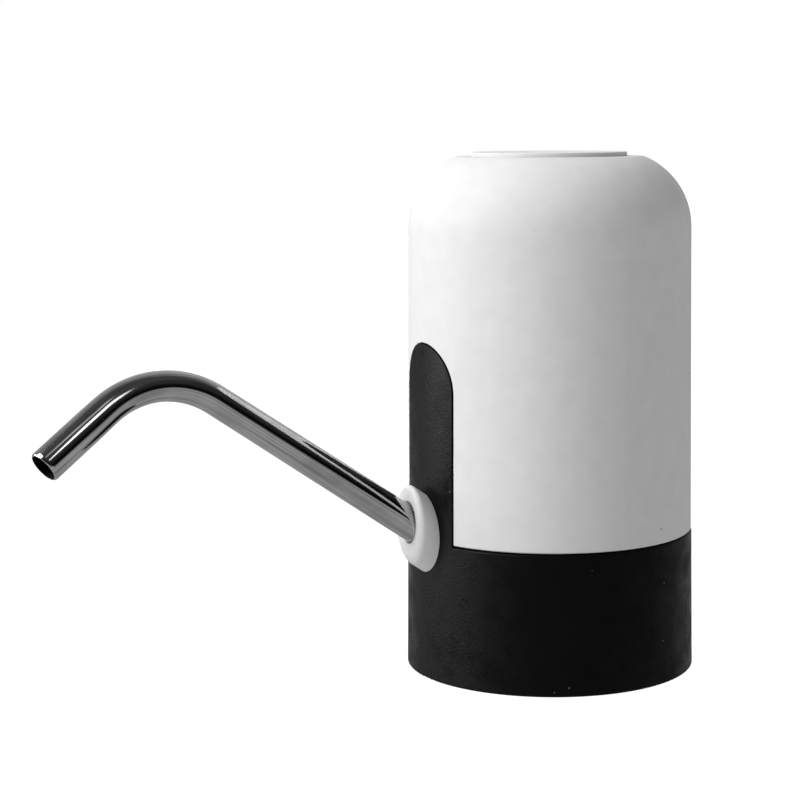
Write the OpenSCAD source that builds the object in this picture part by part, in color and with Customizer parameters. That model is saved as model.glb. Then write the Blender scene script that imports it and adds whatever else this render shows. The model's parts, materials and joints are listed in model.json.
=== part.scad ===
// Electric water jug pump: a housing that sits on the neck of a water jug, with a bent steel spout.
// The origin is on the neck's axis in the plane of the bottom rim, and the spout points to -Y.

/* [Housing] */
// Outside diameter of the upper shell
body_d = 72; // [71:0.5:78]
// Height of the flat top
body_h = 129.2; // [125:0.1:140]
// Height of the line where the shell meets the base
seam_z = 34.8; // [33.6:0.2:38]
// Radius of the rounded shoulder
shoulder_r = 19; // [18.4:0.2:20]
// Height of the shoulder's curve, from its start to the flat top
shoulder_rise = 17.7; // [15.5:0.1:18]
// Wall of the shell and of the base
wall = 2.2; // [1.8:0.1:2.6]
// Shadow gap between the shell and the black moulding
seam_gap = 0.4; // [0.2:0.05:0.6]
// How far the base stands proud of the shell
base_step = 0.15; // [0.05:0.05:0.4]
// Break of the sharp outer edges at the seam and round the button
edge_break = 0.3; // [0.1:0.05:0.5]
// Rounding of the base's bottom edge
base_edge_r = 0.6; // [0.5:0.1:1.6]
// How much the moulded shell narrows from the seam to its shoulder, on the radius
shell_draft = 0.3; // [0:0.05:0.5]
// How much the moulded base widens from the seam to its rim, on the radius
base_draft = 0.3; // [0:0.05:0.5]

/* [Tongue] */
// Width of the tongue that stands up behind the spout
tongue_w = 23; // [21.5:0.5:30]
// Height of the top of the tongue's arch
tongue_top = 83.5; // [76:0.5:95]
// How far the tongue's lip laps behind the shell
tongue_lap = 2.5; // [1.5:0.1:3.5]

/* [Jug neck] */
// Diameter of the jug's neck
neck_d = 55; // [53:0.5:56]
// Depth of the free socket, from the rim to the gasket
neck_depth = 15.8; // [14:0.2:17]
// Wall of the gripping sleeve
sleeve_wall = 2; // [1.4:0.1:2.4]
// Number of ribs round the sleeve
sleeve_ribs = 16; // [8:1:24]
// Width of a rib
rib_w = 1.2; // [0.8:0.1:2]
// Thickness of the neck gasket
gasket_t = 2; // [1.4:0.1:2.6]
// Diameter of the recess above the gasket
recess_d = 44; // [42:0.5:46]
// Height of the recess, from its deck to the top of its floor
recess_h = 12.2; // [11:0.2:13]

/* [Inlet nipple] */
// Outside diameter of the nipple that takes the suction hose
nipple_d = 8; // [7:0.2:9]
// Length of the nipple below its flange
nipple_l = 10.5; // [8:0.5:11]
// Diameter of the nipple's flange
nipple_flange_d = 13; // [12:0.2:15]
// Width across the flats of its nut
nipple_nut_w = 12; // [11:0.2:13]

/* [Spout] */
// Outside diameter of the steel tube
spout_d = 8; // [7:0.2:8.6]
// Wall of the steel tube
spout_wall = 0.6; // [0.4:0.1:1]
// Angle at which the tube rises from the collar
spout_rise = 34; // [31:0.2:36]
// Angle at which the tip falls
spout_fall = 36; // [20:0.5:55]
// Radius of the bend, at the tube's centre line
spout_bend_r = 24.5; // [16:0.5:28]
// Length from the collar's face to the corner of the two straight runs
spout_run = 77.4; // [65:0.2:90]
// Length from that corner to the tip
spout_tip = 36.8; // [28:0.2:45]
// How far the tip is swung to the side, about the rising run
spout_swing = 11; // [-45:1:45]

/* [Collar] */
// Diameter of the collar, from its top to its underside
collar_d = 16.4; // [15.4:0.2:19]
// Width of the collar
collar_w = 14.6; // [13.8:0.2:17]
// How far its upright face stands out from the housing
collar_out = 4.6; // [3.6:0.1:5.4]
// Height of the middle of its face
collar_z = 39.6; // [38.4:0.1:40.6]
// Rounding of the edge of its face
collar_edge_r = 1.5; // [0.8:0.1:2]
// Wall of the soft bush round the tube
bush_wall = 1; // [0.7:0.05:1.1]
// How far the bush's front lies behind the middle of the collar's face
bush_set = 5; // [4.8:0.1:6]

/* [Button] */
// Diameter of the button
button_d = 39; // [36:0.5:40]
// How far its lip stands above the flat top
button_proud = 1.1; // [0.8:0.1:2]
// Depth of the dish in its top
dish_depth = 1.6; // [1:0.1:2.2]
// Travel of the button
button_travel = 1; // [0.6:0.1:1.2]

/* [Gear pump] */
// Module of the gears
gear_module = 0.75; // [0.7:0.01:0.78]
// Teeth of each gear
gear_teeth = 12; // [11:1:12]
// Thickness of the gears
gear_t = 6; // [5:0.2:7]
// Diameter of the motor's shaft and of the idler's pin
shaft_d = 2; // [1.6:0.1:2.2]
// Wall round the gear chamber
pump_wall = 2.2; // [1.8:0.1:2.4]
// Bore of the two hoses
hose_bore = 6; // [5:0.2:6.2]
// Wall of the two hoses
hose_wall = 1.3; // [1:0.1:1.4]

/* [Motor] */
// Diameter of the motor
motor_d = 24.4; // [22:0.2:25]
// Length of the motor's can
motor_l = 28; // [24:0.5:30]

/* [Battery] */
// Diameter of the cell
cell_d = 18.4; // [16:0.2:18.6]
// Length of the cell
cell_l = 65; // [50:0.5:66]

/* [Boards] */
// Thickness of the two boards
board_t = 1.6; // [1:0.1:2]
// Diameter of the control board
board_d = 55; // [53:0.5:56]
// Width of the charging socket
usb_w = 7.5; // [7:0.1:9]
// Height of the charging socket
usb_h = 2.6; // [2.4:0.1:3.2]

/* [Hidden] */
$fn = 64;
// Overlap that makes a cut or a union clean
eps = 0.05;
// Radial clearance of what turns or slides in a bore
run_fit = 0.05;
// Clearance between pieces that only sit beside each other
seat_fit = 0.1;
// Clearance all round what moves past a fixed piece
free_gap = 0.3;
// How far a cut runs on past what it cuts
cut_over = 1;

// Housing
body_r = body_d / 2;
inner_r = body_r - wall;
base_r = body_r + base_step;
foot_r = base_r + base_draft;
shoulder_z = body_h - shoulder_rise;
draft_slope = shell_draft / (shoulder_z - seam_z);
shell_z = seam_z + seam_gap / 2;
base_top = seam_z - seam_gap / 2;
spigot_out = inner_r - 2 * seat_fit;
spigot_wall = 1.4;
spigot_in = spigot_out - spigot_wall;
spigot_h = 4;
spigot_root = 3;
bead_h = 1;
bead_out = 0.35;
bead_z = seam_z + spigot_h - 2 * bead_h;
tongue_spring = tongue_top - tongue_w / 2;
lap_r = spigot_out - shell_draft;
tongue_root = 1;

// Jug neck
neck_clear = 0.25;
bore_r = neck_d / 2 + neck_clear;
sleeve_r = bore_r + sleeve_wall;
sleeve_z = 0.2;
sleeve_lead = 0.6;
gasket_groove = 0.5;
flange_t = 2.2;
flange_z = neck_depth + gasket_t;
deck_z = flange_z + flange_t;
deck_t = 2.2;
recess_r = recess_d / 2;
floor_z = deck_z + recess_h;
floor_t = 2.2;
gasket_seat = 3;
gasket_in = recess_r + gasket_seat;
rib_root = 0.5;

// Inlet nipple
nipple_ledge = 1.5;
nipple_neck_r = nipple_flange_d / 2 - nipple_ledge;
nipple_bore_r = 2.4;
nipple_seal_t = 0.8;
nipple_flange_t = 1.7;
nipple_nut_h = 3.5;
nipple_neck_out = 0.8;
nipple_rise = 10.8;
nipple_top = floor_z + nipple_rise;

// Spout line: local +Z runs up the tube from the middle of the collar's face
spout_r = spout_d / 2;
face_d = body_r + collar_out;
spout_turn = spout_rise + spout_fall;
spout_tangent = spout_bend_r * tan(spout_turn / 2);
spout_in = 10.6;
// Bending draws a tube in by a hair, so its straight runs close over the ends of the bend
bend_slim = 0.015;
bend_lap = 0.5;
bush_r = spout_r + run_fit + bush_wall;
bush_in = spout_in - 2 * seat_fit;
collar_r = collar_d / 2;
collar_bore = bush_r + run_fit;
collar_mouth = spout_r + free_gap;
collar_neck_wall = 1.3;
collar_neck_r = collar_bore + collar_neck_wall;
collar_neck_in = spout_in + 2 * seat_fit;
collar_back = 12;
slice_t = 0.02;
elbow_wall = 1.2;
elbow_r = collar_neck_r + elbow_wall;
elbow_depth = 2.6;
elbow_in = collar_neck_in + elbow_depth;
elbow_chamber_r = spout_r - spout_wall;

// Gear pump: the inlet port is over the nipple, and the two gears lie side by side in front of it
gear_pitch_r = gear_module * gear_teeth / 2;
gear_tip_r = gear_pitch_r + gear_module;
gear_root_r = gear_pitch_r - 1.25 * gear_module;
gear_pressure = 25;
gear_backlash = 0.06;
chamber_fit = 0.08;
chamber_r = gear_tip_r + chamber_fit;
chamber_gap = 0.1;
port_r = 1.8;
port_in = 0.65;
port_y = gear_tip_r - port_in;
mesh_y = -port_y;
block_r = chamber_r + pump_wall;
ear_r = 3.2;
ear_shift = [1.2, 2.7];
ear_at = gear_pitch_r * [2, 1] + ear_shift;
shaft_r = shaft_d / 2;
drive_at = [-gear_pitch_r, mesh_y];
driven_at = [gear_pitch_r, mesh_y];
plate_t = 2;
plate_z = floor_z + plate_t;
pump_rise = 18.3;
cover_z = floor_z + pump_rise;
cover_t = 3;
pump_seal_t = 0.5;
pump_z = cover_z + cover_t + pump_seal_t;
chamber_top = pump_z + gear_t + 2 * chamber_gap;
crown_t = 2;
crown_z = chamber_top + crown_t;
motor_seat = 2.2;
motor_z = crown_z + motor_seat;
ear_drop = 0.2;
ear_top = chamber_top - ear_drop;
ear_cap = 1;
pump_screw_in = 1;
barb_gap = 2;
bearing_floor = 1;
pin_in = 1.2;
grip_h = 6;
grip_wall = 1.5;
seal_r = 3;
seal_t = 0.9;
boss_h = 1.2;
boss_r = 2.9;

// Hoses
hose_r = hose_bore / 2;
hose_out = hose_r + hose_wall;
hose_bend_r = 8;
hose_lap = 0.3;
hose_stop = 0.8;
hose_foot = 1;
hose_head = 0.5;
outlet_z = pump_z + chamber_gap + gear_t / 2;
leg_d = spigot_in - free_gap - hose_out;
leg_wall = 0.6;
leg_r = hose_r + leg_wall;
leg_lift = 1.4;
leg_bore_up = 1;
hose_turn_z = outlet_z - hose_bend_r;
hose_turn_d = leg_d - hose_bend_r;
barb_short = 0.4;
elbow_clip = (spigot_in - face_d + elbow_r * sin(spout_rise)) / cos(spout_rise);
hose_end_z = collar_z + elbow_clip * sin(spout_rise) + elbow_r * cos(spout_rise) + free_gap;
block_front = -mesh_y + block_r;

// Carrier, on the recess floor, with the ring of screws that comes up from the recess
carrier_screw_edge = 5;
carrier_screw_far = recess_r - carrier_screw_edge;
carrier_screw_turn = 95;
carrier_boss_r = 3;
carrier_edge = 2;

// Motor
motor_r = motor_d / 2;
can_wall = 1;
can_top = motor_z + motor_l;
endcap_t = 3;
endcap_boss_r = 4;
endcap_boss_h = 1.5;
endcap_out = 1;
endcap_z = can_top - endcap_t + endcap_out;
magnet_t = 2.1;
magnet_over = 1;
magnet_half = 70;
air_gap = 0.7;
core_r = motor_r - can_wall - magnet_t - air_gap;
core_in = 5;
core_short = 12;
core_z = motor_z + core_in;
core_l = motor_l - core_short;
commutator_r = 2.4;
bush_out_r = 1.6;
bush_len = 3;
terminal_h = 5;
terminal_t = 0.5;
terminal_w = 2.4;
terminal_edge = 3;
terminal_far = motor_r - can_wall - terminal_edge;

// Battery
cell_r = cell_d / 2;
cradle_fit = 0.2;
cradle_r = cell_r + cradle_fit;
cradle_wall = 1.2;
cradle_h = 50;
cell_angle = 19.5;
cradle_gap = 0.6;
cell_far = spigot_in - cradle_gap - cradle_r - cradle_wall;
cell_at = cell_far * [cos(cell_angle), sin(cell_angle)];
tab_t = 0.3;
tab_w = 5;
tab_in = 4;
tab_short = 1.5;
lead_turn = 140;
lead_angle = cell_angle + lead_turn;
cell_cap_h = 1;
cell_cap_r = 5.06;
cell_z = plate_z + tab_t;

// Boards
usb_d = 5.6;
charge_rise = 14;
charge_z = floor_z + charge_rise;
charge_half = 9;
charge_front = 13;
charge_post = [6.4, 20];
charge_post_r = 2.4;
usb_z = charge_z + board_t;
usb_set = 1;
usb_mouth = body_r - usb_set;
usb_margin = 0.8;
button_r = button_d / 2;
button_top = body_h + button_proud;
button_hole = button_r + free_gap;
button_flange_w = 1.8;
button_flange_r = button_r + button_flange_w;
button_flange_z = body_h - wall - free_gap;
button_lip = 0.4;
button_web = 1.8;
button_floor = button_top - dish_depth - button_web;
button_post_r = 2.6;
board_boss_r = 2.2;
boss_gap = 0.5;
boss_root = 0.55;
boss_far = button_flange_r + free_gap + board_boss_r + boss_gap;
boss_turn = 30;
switch_w = 6.2;
switch_h = 3.5;
switch_floor = 0.3;
plunger_free = 0.6;
plunger_r = 1.7;
plunger_out = 3.5;
button_post_h = 1;
plunger_top = button_floor - button_post_h;
board_top = plunger_top - plunger_out - switch_h;
board_z = board_top - board_t;
led_r = 1.5;
led_far = 8;
screw_r = 1.1;
screw_grip = 5;
screw_spare = 1;
screw_hole = screw_grip + screw_spare;
wire_r = 0.7;
solder_t = 0.25;
lead_step = 4;
charge_lead_in = 3;
charge_lead_gap = 4;

// A tube or a plain cylinder between two heights
module ring(r_out, r_in, z0, z1) {
    translate([0, 0, z0])
        difference() {
            cylinder(r = r_out, h = z1 - z0);
            if (r_in > 0)
                translate([0, 0, -eps])
                    cylinder(r = r_in, h = z1 - z0 + 2 * eps);
        }
}

// Half section of the shell's outside or inside, from the seam up to its flat top
module shoulder_section(r, arc, top, draft) {
    intersection() {
        union() {
            polygon([[0, seam_z], [r, seam_z], [r - draft, shoulder_z], [0, shoulder_z]]);
            translate([r - draft - arc, shoulder_z])
                circle(arc);
            square([r - draft - arc, top]);
        }
        translate([0, seam_z])
            square([r, top - seam_z]);
    }
}

// Outer radius of the tongue at a height, with the shell's draft
function tongue_r(z) = base_r - draft_slope * (z - base_top);

// Solid outside of the base and the tongue, grown by a margin
module dark_outside(margin) {
    rotate_extrude()
        polygon([
            [0, 0],
            [foot_r + margin, 0],
            [base_r + margin, base_top],
            [tongue_r(tongue_top + cut_over) + margin, tongue_top + cut_over],
            [0, tongue_top + cut_over]
        ]);
}

// Small triangle that breaks the corner of a half section, towards +X or -X and +Y or -Y
module corner_break(x, y, side_x, side_y, size) {
    translate([x, y])
        polygon([
            [side_x * eps, side_y * eps],
            [side_x * eps, -side_y * size],
            [-side_x * size, side_y * eps]
        ]);
}

// Upright arch, the tongue's outline grown by a margin, cut through the front of the housing
module arch(margin) {
    half = tongue_w / 2 + margin;
    rotate([90, 0, 0])
        linear_extrude(base_r + 2 * cut_over)
            union() {
                translate([-half, base_top - spigot_root])
                    square([2 * half, tongue_spring - base_top + spigot_root]);
                translate([0, tongue_spring])
                    circle(half);
            }
}

// Places a shape at the middle of the collar's face, with +Z along the tube and outwards
module along_spout() {
    translate([0, -face_d, collar_z])
        rotate([90 - spout_rise, 0, 0])
            children();
}

// Places a shape on the axis of the motor and the drive gear
module at_drive() {
    translate([drive_at.x, drive_at.y, 0])
        children();
}

// Three equal copies round the housing's axis
module in_thirds(far, first) {
    for (i = [0:2])
        rotate(first + 120 * i)
            translate([far, 0, 0])
                children();
}

// A pan-head screw with its head's seat at z = 0 and its shank pointing up
module screw(shank_r, shank_l) {
    head_r = 2 * shank_r;
    head_h = 1.4 * shank_r;
    slot_l = 1.3 * head_r;
    slot_w = 0.3 * head_r;
    difference() {
        union() {
            translate([0, 0, -head_h])
                cylinder(r = head_r, h = head_h);
            cylinder(r = shank_r, h = shank_l);
        }
        for (a = [0, 90])
            rotate(a)
                translate([0, 0, -head_h])
                    cube([slot_l, slot_w, head_h], center = true);
    }
}

// Points on a smooth curve through a route
function between(p, t) =
    0.5 * (2 * p[1] + (p[2] - p[0]) * t + (2 * p[0] - 5 * p[1] + 4 * p[2] - p[3]) * t * t
    + (3 * p[1] - p[0] - 3 * p[2] + p[3]) * t * t * t);
function curve(route, steps) =
    let (last = len(route) - 1)
    [for (i = [0:last - 1])
        let (p = [route[max(i - 1, 0)], route[i], route[i + 1], route[min(i + 2, last)]])
        for (s = [0:steps - 1]) between(p, s / steps),
     route[last]];
function unit(v) = v / norm(v);

// A round wire swept along a route
module wire(route, r, sides = 8, steps = 3) {
    line = curve(route, steps);
    last = len(line) - 1;
    // No lead runs this way, so it squares every ring
    side = [0.83, 0.55, 0.05];
    points = [for (i = [0:last])
        let (ahead = unit(line[min(i + 1, last)] - line[max(i - 1, 0)]))
        let (u = unit(cross(ahead, side)))
        let (v = cross(ahead, u))
        for (k = [0:sides - 1])
            line[i] + r * (cos(360 * k / sides) * u + sin(360 * k / sides) * v)];
    faces = concat(
        [[for (k = [0:sides - 1]) k]],
        [for (i = [0:last - 1], k = [0:sides - 1])
            [i * sides + k, (i + 1) * sides + k, (i + 1) * sides + (k + 1) % sides]],
        [for (i = [0:last - 1], k = [0:sides - 1])
            [i * sides + k, (i + 1) * sides + (k + 1) % sides, i * sides + (k + 1) % sides]],
        [[for (k = [sides - 1:-1:0]) last * sides + k]]);
    polyhedron(points, faces);
}

// White housing, with the notch for the tongue, the button's hole and the charging slot
module upper_shell() {
    color("white")
        difference() {
            union() {
                rotate_extrude()
                    difference() {
                        shoulder_section(body_r, shoulder_r, body_h, shell_draft);
                        shoulder_section(inner_r, shoulder_r - wall, body_h - wall, shell_draft);
                        square([body_r + cut_over, shell_z]);
                        square([button_hole, body_h + cut_over]);
                        corner_break(body_r, shell_z, 1, -1, edge_break);
                        corner_break(button_hole, body_h, -1, 1, edge_break);
                        translate([inner_r - cut_over, bead_z - seat_fit])
                            square([cut_over + bead_out, bead_h + 2 * seat_fit]);
                    }
                in_thirds(boss_far, boss_turn)
                    translate([0, 0, board_top])
                        cylinder(r = board_boss_r, h = body_h - wall + boss_root - board_top);
            }
            arch(seam_gap);
            in_thirds(boss_far, boss_turn)
                translate([0, 0, board_top - eps])
                    cylinder(r = screw_r, h = screw_hole);
            usb_slot();
        }
}

// Round-ended slot through the back of the shell, in line with the charging socket
module usb_slot() {
    slot_r = usb_h / 2 + usb_margin;
    half = usb_w / 2 + usb_margin - slot_r;
    translate([0, 0, usb_z + usb_h / 2])
        rotate([-90, 0, 0])
            linear_extrude(base_r)
                union() {
                    square([2 * half, 2 * slot_r], center = true);
                    for (x = [-half, half])
                        translate([x, 0])
                            circle(slot_r);
                }
}

// Half section of the black base: wall, deck, recess and the spigot that the shell snaps on
module base_section() {
    difference() {
        polygon([
            [inner_r - seat_fit, 0],
            [foot_r, 0],
            [base_r, base_top],
            [inner_r - seat_fit, base_top]
        ]);
        corner_break(base_r, base_top, 1, 1, edge_break);
        difference() {
            translate([foot_r - base_edge_r, -eps])
                square([base_edge_r + eps, base_edge_r + eps]);
            translate([foot_r - base_edge_r, base_edge_r])
                circle(base_edge_r);
        }
    }
    translate([recess_r, deck_z])
        square([inner_r - recess_r + seat_fit, deck_t]);
    translate([recess_r, deck_z])
        square([deck_t, floor_z - deck_z]);
    translate([nipple_neck_r + seat_fit, floor_z - floor_t])
        square([recess_r + deck_t - nipple_neck_r - seat_fit, floor_t]);
    translate([spigot_in, base_top - spigot_root])
        square([spigot_wall, spigot_h + spigot_root]);
    translate([spigot_in, base_top - spigot_root])
        square([inner_r - spigot_in + seat_fit, spigot_root]);
    translate([spigot_in, bead_z])
        square([inner_r - spigot_in + bead_out - seat_fit, bead_h]);
}

// Black base band with the tongue behind the spout, cut for the collar
module base_ring() {
    color([0.07, 0.07, 0.075])
        difference() {
            union() {
                rotate_extrude()
                    base_section();
                intersection() {
                    difference() {
                        dark_outside(0);
                        cylinder(r = spigot_in + spigot_wall / 2, h = tongue_top + 2 * cut_over);
                    }
                    ring(foot_r, 0, base_top - tongue_root, tongue_top + cut_over);
                    arch(0);
                }
                intersection() {
                    ring(lap_r, spigot_in, base_top - tongue_root, tongue_top + tongue_lap + cut_over);
                    arch(tongue_lap);
                }
            }
            along_spout()
                translate([0, 0, -elbow_in])
                    cylinder(r = collar_neck_r + seat_fit, h = elbow_in + collar_out);
            in_thirds(carrier_screw_far, carrier_screw_turn)
                translate([0, 0, floor_z - floor_t - eps])
                    cylinder(r = screw_r + seat_fit, h = floor_t + 2 * eps);
        }
}

// Ribbed sleeve that grips the jug's neck
module neck_sleeve() {
    color([0.16, 0.16, 0.17])
        union() {
            rotate_extrude()
                difference() {
                    union() {
                        translate([bore_r, sleeve_z])
                            square([sleeve_wall, deck_z - sleeve_z]);
                        translate([gasket_in - seat_fit, flange_z])
                            square([inner_r - 2 * seat_fit - gasket_in, flange_t]);
                    }
                    polygon([
                        [bore_r - eps, sleeve_z - eps],
                        [bore_r + sleeve_lead + eps, sleeve_z - eps],
                        [bore_r - eps, sleeve_z + sleeve_lead + eps]
                    ]);
                    translate([bore_r - eps, neck_depth])
                        square([gasket_groove + eps, gasket_t]);
                }
            for (i = [0:sleeve_ribs - 1])
                rotate(360 * (i + 0.5) / sleeve_ribs)
                    translate([sleeve_r - rib_root, -rib_w / 2, sleeve_z + sleeve_lead])
                        cube([inner_r - 3 * seat_fit - sleeve_r + rib_root, rib_w, flange_z - sleeve_z]);
        }
}

// Soft ring that the jug's lip presses on
module neck_gasket() {
    color([0.75, 0.76, 0.76])
        ring(bore_r + gasket_groove - seat_fit, gasket_in, neck_depth, flange_z);
}

// Nipple through the recess floor, for the suction hose below and the inner hose above
module inlet_nipple() {
    flange_top = floor_z - floor_t - nipple_seal_t;
    flange_bottom = flange_top - nipple_flange_t;
    nut_top = floor_z + nipple_nut_h;
    color([0.88, 0.89, 0.9])
        difference() {
            union() {
                translate([0, 0, flange_bottom - nipple_l])
                    cylinder(d = nipple_d, h = nipple_l + eps);
                translate([0, 0, flange_bottom])
                    cylinder(d = nipple_flange_d, h = nipple_flange_t);
                translate([0, 0, flange_top - eps])
                    cylinder(r = nipple_neck_r, h = nut_top + nipple_neck_out - flange_top + eps);
                translate([0, 0, nut_top])
                    cylinder(r = hose_r, h = nipple_top - nut_top);
            }
            translate([0, 0, flange_bottom - nipple_l - eps])
                cylinder(r = nipple_bore_r, h = nipple_top - flange_bottom + nipple_l + 2 * eps);
        }
}

module nipple_gasket() {
    top = floor_z - floor_t;
    color([0.2, 0.2, 0.2])
        ring(nipple_flange_d / 2 - seat_fit, nipple_neck_r + seat_fit, top - nipple_seal_t, top);
}

module nipple_nut() {
    color([0.85, 0.86, 0.87])
        translate([0, 0, floor_z])
            difference() {
                cylinder(d = nipple_nut_w / cos(30), h = nipple_nut_h, $fn = 6);
                translate([0, 0, -eps])
                    cylinder(r = nipple_neck_r, h = nipple_nut_h + 2 * eps);
            }
}

// One upright slice of the collar's head, a distance behind its face
module collar_slice(behind, r) {
    translate([0, behind - face_d, collar_z - behind * tan(spout_rise)])
        rotate([90, 0, 0])
            linear_extrude(slice_t)
                scale([collar_w / collar_d, 1 / cos(spout_rise)])
                    circle(r, $fn = 48);
}

// White collar: an oblique head with a rounded upright face, seated on the base
module spout_collar() {
    color("white")
        difference() {
            union() {
                difference() {
                    hull() {
                        for (a = [0:22.5:90])
                            collar_slice(
                                slice_t + collar_edge_r * (1 - sin(a)),
                                collar_r - collar_edge_r * (1 - cos(a)));
                        collar_slice(collar_out + collar_back, collar_r);
                    }
                    dark_outside(run_fit);
                }
                intersection() {
                    along_spout()
                        translate([0, 0, -collar_neck_in])
                            cylinder(r = collar_neck_r, h = collar_neck_in + 2 * collar_out);
                    translate([-body_r, -face_d + collar_edge_r, 0])
                        cube([body_d, body_d, tongue_top]);
                }
            }
            along_spout()
                translate([0, 0, -collar_neck_in - eps]) {
                    cylinder(r = collar_bore, h = collar_neck_in - bush_set + seat_fit + eps);
                    cylinder(r = collar_mouth, h = collar_neck_in + 4 * collar_out);
                }
        }
}

// Soft bush that seals the tube behind the collar's mouth, and turns with it
module spout_bush() {
    color([0.82, 0.83, 0.83])
        along_spout()
            ring(bush_r, spout_r + run_fit, -bush_in, -bush_set);
}

// Solid rod that follows the spout's line, used for the tube and for its bore
module spout_rod(r, start, tip) {
    bend_z = spout_run - spout_tangent;
    translate([0, 0, start])
        cylinder(r = r, h = bend_z - start + bend_lap);
    translate([0, -spout_bend_r, bend_z]) {
        rotate([90, 0, 90])
            rotate_extrude(angle = spout_turn)
                translate([spout_bend_r, 0])
                    circle(r - bend_slim);
        rotate([spout_turn, 0, 0])
            translate([0, spout_bend_r, -bend_lap])
                cylinder(r = r, h = tip - spout_tangent + bend_lap);
    }
}

// Bent steel spout
module spout_tube() {
    color([0.55, 0.56, 0.58])
        along_spout()
            rotate(spout_swing)
                difference() {
                    spout_rod(spout_r, -spout_in, spout_tip);
                    spout_rod(spout_r - spout_wall, -spout_in - cut_over, spout_tip + cut_over);
                }
}

// Fitting behind the collar that turns the water's way up to the hose
module outlet_elbow() {
    chamber_in = elbow_in - elbow_wall;
    leg_z = floor_z + leg_lift;
    bore_z = collar_z - (face_d - leg_d) * tan(spout_rise);
    color([0.86, 0.87, 0.88])
        difference() {
            union() {
                intersection() {
                    along_spout()
                        translate([0, 0, -elbow_in])
                            cylinder(r = elbow_r, h = elbow_in);
                    cylinder(r = spigot_in - seat_fit, h = tongue_top);
                }
                translate([0, -leg_d, leg_z])
                    cylinder(r = leg_r, h = hose_end_z - leg_z);
                translate([0, -leg_d, leg_z])
                    cylinder(r = hose_r, h = hose_turn_z - barb_short - leg_z);
            }
            along_spout() {
                translate([0, 0, -collar_neck_in - seat_fit])
                    cylinder(r = collar_neck_r + run_fit, h = elbow_in);
                translate([0, 0, -chamber_in])
                    cylinder(r = elbow_chamber_r, h = chamber_in);
            }
            translate([0, -leg_d, bore_z + leg_bore_up])
                cylinder(r = port_r, h = hose_turn_z - bore_z);
        }
}

// Straight hose from the nipple up to the pump
module inlet_hose() {
    color([0.9, 0.9, 0.88])
        ring(hose_out, hose_r, floor_z + nipple_nut_h + hose_foot, cover_z - hose_head);
}

// Hose from the pump forwards, then down to the elbow
module outlet_hose() {
    color([0.9, 0.9, 0.88])
        difference() {
            hose_rod(hose_out, 0);
            hose_rod(hose_r, cut_over);
        }
}

module hose_rod(r, extra) {
    translate([0, -leg_d, hose_end_z - extra])
        cylinder(r = r, h = hose_turn_z - hose_end_z + hose_lap + extra);
    translate([0, -hose_turn_d, hose_turn_z])
        rotate([90, 0, -90])
            rotate_extrude(angle = 90)
                translate([hose_bend_r, 0])
                    circle(r - bend_slim);
    translate([0, -hose_turn_d - hose_lap, outlet_z])
        rotate([-90, 0, 0])
            cylinder(r = r, h = hose_turn_d - block_front - hose_stop + hose_lap + extra);
}

// Plate on the recess floor that carries the pump, the cell and the charging board
module carrier() {
    color([0.24, 0.24, 0.26])
        difference() {
            union() {
                difference() {
                    ring(spigot_in - carrier_edge, nipple_nut_w / 2 + carrier_edge, floor_z, plate_z);
                    translate([-body_r, -body_r - leg_d + leg_r + carrier_edge, floor_z - cut_over])
                        cube([body_d, body_r, plate_t + 2 * cut_over]);
                }
                translate([cell_at.x, cell_at.y, floor_z])
                    cylinder(r = cradle_r + cradle_wall / 2, h = plate_t);
                cradle();
                for (s = [-1, 1])
                    translate([s * ear_at.x, mesh_y - s * ear_at.y, floor_z])
                        cylinder(r = ear_r, h = cover_z - floor_z);
                in_thirds(carrier_screw_far, carrier_screw_turn)
                    translate([0, 0, floor_z])
                        cylinder(r = carrier_boss_r, h = screw_hole + plate_t);
                for (s = [-1, 1])
                    translate([s * charge_post.x, charge_post.y, floor_z])
                        cylinder(r = charge_post_r, h = charge_z - floor_z);
            }
            for (s = [-1, 1]) {
                translate([s * ear_at.x, mesh_y - s * ear_at.y, floor_z - eps]) {
                    cylinder(r = screw_r, h = cover_z);
                    cylinder(r = 2 * screw_r + seat_fit, h = plate_t + pump_screw_in);
                }
                translate([s * charge_post.x, charge_post.y, charge_z - screw_hole])
                    cylinder(r = screw_r, h = screw_hole + eps);
            }
            in_thirds(carrier_screw_far, carrier_screw_turn)
                translate([0, 0, floor_z - eps])
                    cylinder(r = screw_r, h = screw_hole + eps);
        }
}

// Open-sided cradle that clips round the cell
module cradle() {
    open_half = 60;
    translate([cell_at.x, cell_at.y, floor_z])
        rotate(cell_angle - 180 + open_half)
            rotate_extrude(angle = 360 - 2 * open_half)
                translate([cradle_r, 0])
                    square([cradle_wall, cradle_h]);
}

module carrier_screws() {
    color([0.6, 0.6, 0.62])
        in_thirds(carrier_screw_far, carrier_screw_turn)
            translate([0, 0, floor_z - floor_t])
                screw(screw_r, floor_t + screw_grip);
}

// Outline of the pump's block, round the two gears
module block_outline() {
    translate([0, mesh_y]) {
        square([2 * gear_pitch_r, 2 * block_r], center = true);
        for (s = [-1, 1])
            translate([s * gear_pitch_r, 0])
                circle(block_r);
    }
}

// The two ears that the long screws clamp, at opposite corners of the block
module ear_outline() {
    for (s = [-1, 1])
        translate([s * ear_at.x, mesh_y - s * ear_at.y])
            circle(ear_r);
}

// Holes for the two long screws
module ear_holes(r, z, h) {
    for (s = [-1, 1])
        translate([s * ear_at.x, mesh_y - s * ear_at.y, z])
            cylinder(r = r, h = h);
}

// The two gear pockets and the two port pockets
module chamber_outline() {
    translate([0, mesh_y])
        for (s = [-1, 1]) {
            translate([s * gear_pitch_r, 0])
                circle(chamber_r);
            translate([0, s * port_y])
                circle(port_r);
        }
}

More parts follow.
